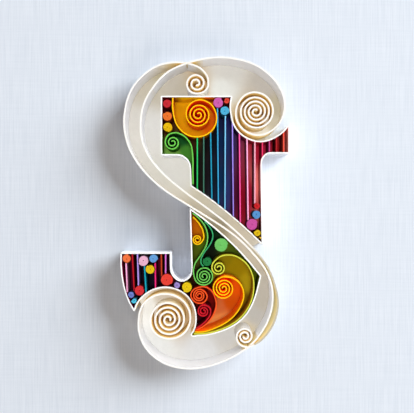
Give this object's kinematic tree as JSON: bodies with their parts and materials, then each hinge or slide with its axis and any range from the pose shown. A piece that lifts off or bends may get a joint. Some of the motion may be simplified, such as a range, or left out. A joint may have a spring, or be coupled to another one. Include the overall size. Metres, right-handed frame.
{
  "type": "quilled paper art",
  "caption": "Flat panel of paper strips on edge: ivory ribbons, rolled up at their ends, cross round rimmed cells packed with coloured scrolls, tight coils and straight strips.",
  "frame": {"origin": "middle of the backing board's underside", "axes": "+X right and +Y up the picture, +Z out of the board towards the viewer"},
  "size_m": [0.17, 0.17, 0.0123],
  "materials": {
    "board_card": "linen embossed, matt",
    "ivory_card": "smooth, matt",
    "cell_sheet_upper": "smooth, matt, graded colours",
    "cell_sheet_lower": "smooth, matt, graded colours",
    "paper_amber": "matt",
    "paper_yellow": "matt",
    "paper_golden": "matt",
    "paper_green": "matt",
    "paper_light_green": "matt",
    "paper_grass": "matt",
    "paper_emerald": "matt",
    "paper_grey_green": "matt",
    "paper_sea_green": "matt",
    "paper_teal": "matt",
    "paper_sky": "matt",
    "paper_cyan": "matt",
    "paper_light_blue": "matt",
    "paper_blue": "matt",
    "paper_periwinkle": "matt",
    "paper_lavender": "matt",
    "paper_violet_pink": "matt",
    "paper_magenta": "matt",
    "paper_pink": "matt",
    "paper_light_pink": "matt",
    "paper_hot_pink": "matt",
    "paper_crimson": "matt",
    "paper_red": "matt",
    "paper_scarlet": "matt",
    "paper_vermilion": "matt",
    "paper_orange": "matt",
    "paper_lime": "matt"
  },
  "bodies": {
    "root": {"backing_board": "board_card", "coil_bowl_emerald": "paper_emerald", "coil_bowl_green": "paper_light_green", "coil_bowl_lavender": "paper_lavender", "coil_bowl_red": "paper_scarlet", "coil_bowl_yellow": "paper_yellow", "coil_cyan": "paper_sky", "coil_foot_blue": "paper_blue", "coil_foot_magenta": "paper_magenta", "coil_foot_orange": "paper_orange", "coil_foot_red": "paper_scarlet", "coil_foot_yellow": "paper_yellow", "coil_hook_blue": "paper_blue", "coil_hook_cyan": "paper_cyan", "coil_hook_orange": "paper_orange", "coil_hook_periwinkle": "paper_periwinkle", "coil_hook_pink": "paper_light_pink", "coil_hook_red": "paper_red", "coil_hook_yellow": "paper_yellow", "coil_magenta": "paper_magenta", "coil_orange": "paper_orange", "coil_red": "paper_red", "coil_scarlet": "paper_scarlet", "coil_yellow": "paper_yellow", "floor_lower": "cell_sheet_lower", "floor_upper": "cell_sheet_upper", "hook_hot_pink": "paper_hot_pink", "hook_lavender": "paper_lavender", "hook_orange_red": "paper_vermilion", "hook_pale_pink": "paper_light_pink", "hook_red": "paper_red", "hook_teal": "paper_teal", "hook_violet_pink": "paper_violet_pink", "ribbon_inner": "ivory_card", "ribbon_outer": "ivory_card", "rim_lower": "ivory_card", "rim_upper": "ivory_card", "scroll_amber": "paper_amber", "scroll_crimson": "paper_crimson", "scroll_green": "paper_green", "scroll_light_green": "paper_light_green", "scroll_lime": "paper_lime", "scroll_orange": "paper_golden", "scroll_teal": "paper_sea_green", "scroll_vermilion": "paper_vermilion", "scroll_yellow_small": "paper_yellow", "stem_green": "paper_grass", "stem_grey_green": "paper_grey_green", "stem_hot_pink": "paper_hot_pink", "stem_lavender": "paper_lavender", "stem_light_blue": "paper_light_blue", "stem_light_pink": "paper_light_pink", "stem_magenta": "paper_magenta", "stem_orange_red": "paper_scarlet", "stem_pale_pink": "paper_light_pink", "stem_pink": "paper_pink", "stem_red": "paper_red", "stem_sky": "paper_sky", "stem_teal": "paper_teal"}
  },
  "joints": []
}
